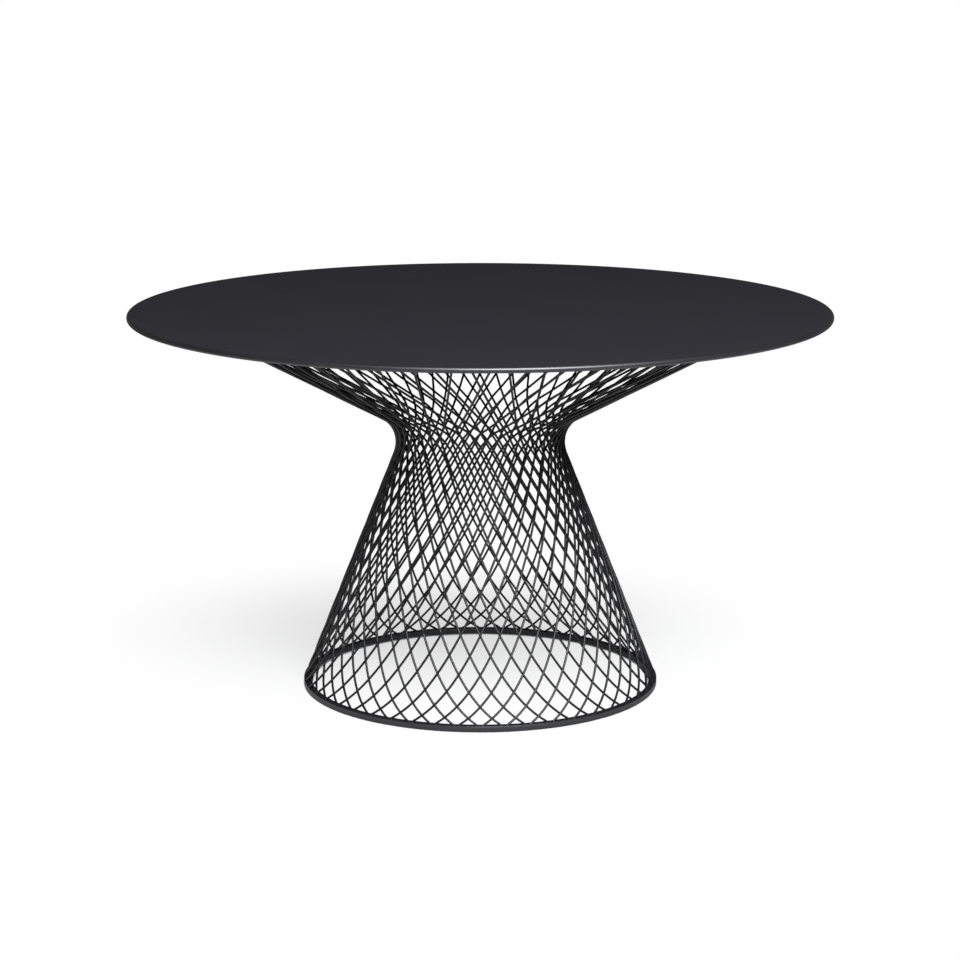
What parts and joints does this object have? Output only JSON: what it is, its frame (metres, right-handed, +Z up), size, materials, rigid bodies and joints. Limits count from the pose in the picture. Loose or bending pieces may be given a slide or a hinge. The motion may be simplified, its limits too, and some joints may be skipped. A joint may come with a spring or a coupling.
{
  "type": "round garden table",
  "caption": "Round garden table with a sheet steel top, rolled at the edge, on an hourglass basket of crossing steel wires that stands on a ring.",
  "frame": {"origin": "on the floor, under the middle of the round top", "axes": "+Z up; the table is the same from every side, and the picture looks along +Y, with +X to the right"},
  "size_m": [1.356, 1.356, 0.745],
  "materials": {
    "top_coating": "satin matt powder coat, dark anthracite",
    "base_coating": "satin powder coat, dark anthracite",
    "zinc_screws": "zinc plated",
    "glide_plastic": "moulded, matt"
  },
  "bodies": {
    "root": {"table_top": "top_coating", "rail_long": "base_coating", "rail_front": "base_coating", "rail_back": "base_coating", "tab_front": "base_coating", "tab_right": "base_coating", "tab_back": "base_coating", "tab_left": "base_coating", "top_ring": "base_coating", "wires_01": "base_coating", "wires_02": "base_coating", "wires_03": "base_coating", "wires_04": "base_coating", "wires_05": "base_coating", "wires_06": "base_coating", "wires_07": "base_coating", "wires_08": "base_coating", "wires_09": "base_coating", "wires_10": "base_coating", "wires_11": "base_coating", "wires_12": "base_coating", "wires_13": "base_coating", "wires_14": "base_coating", "wires_15": "base_coating", "wires_16": "base_coating", "wires_17": "base_coating", "wires_18": "base_coating", "wires_19": "base_coating", "wires_20": "base_coating", "wires_21": "base_coating", "wires_22": "base_coating", "wires_23": "base_coating", "wires_24": "base_coating", "bottom_ring": "base_coating", "screw_front": "zinc_screws", "screw_right": "zinc_screws", "screw_back": "zinc_screws", "screw_left": "zinc_screws", "glide_1": "glide_plastic", "glide_2": "glide_plastic", "glide_3": "glide_plastic", "glide_4": "glide_plastic", "glide_5": "glide_plastic", "glide_6": "glide_plastic", "glide_7": "glide_plastic", "glide_8": "glide_plastic"}
  },
  "joints": []
}
